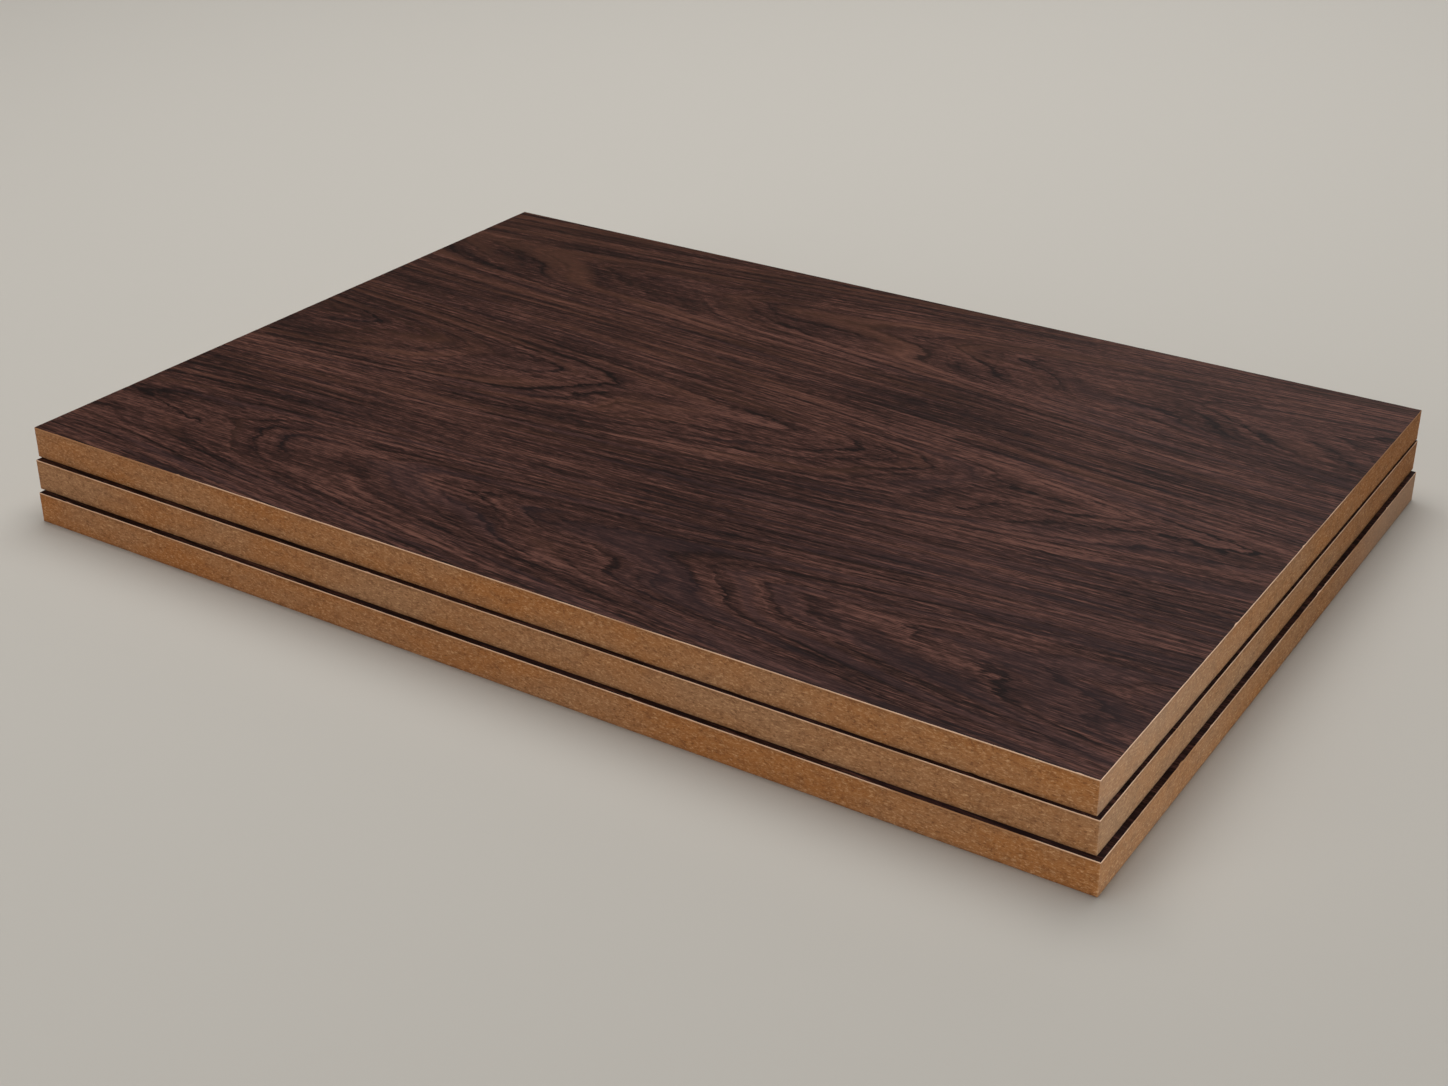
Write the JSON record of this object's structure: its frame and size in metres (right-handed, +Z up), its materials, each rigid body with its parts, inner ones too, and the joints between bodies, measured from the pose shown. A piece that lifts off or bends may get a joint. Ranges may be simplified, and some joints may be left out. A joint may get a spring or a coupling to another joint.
{
  "type": "stack of fibreboard sheets",
  "caption": "Low flat stack of equal laminated fibreboard sheets with dark woodgrain faces and raw sawn edges, lying slightly out of line; raw stock for panels and shelves.",
  "frame": {"origin": "on the floor, under the middle of the stack's own footprint", "axes": "+X along the long side and the grain, +Y across the sheets towards the back, +Z up; the lower sheets show towards +X and -Y"},
  "size_m": [0.6558, 0.4584, 0.054],
  "materials": {
    "raw_fibreboard": "matte",
    "woodgrain_laminate": "satin"
  },
  "bodies": {
    "root": {"bottom_fibreboard": "raw_fibreboard", "bottom_woodgrain_face": "woodgrain_laminate", "middle_fibreboard": "raw_fibreboard", "middle_woodgrain_face": "woodgrain_laminate", "top_fibreboard": "raw_fibreboard", "top_woodgrain_face": "woodgrain_laminate"}
  },
  "joints": []
}
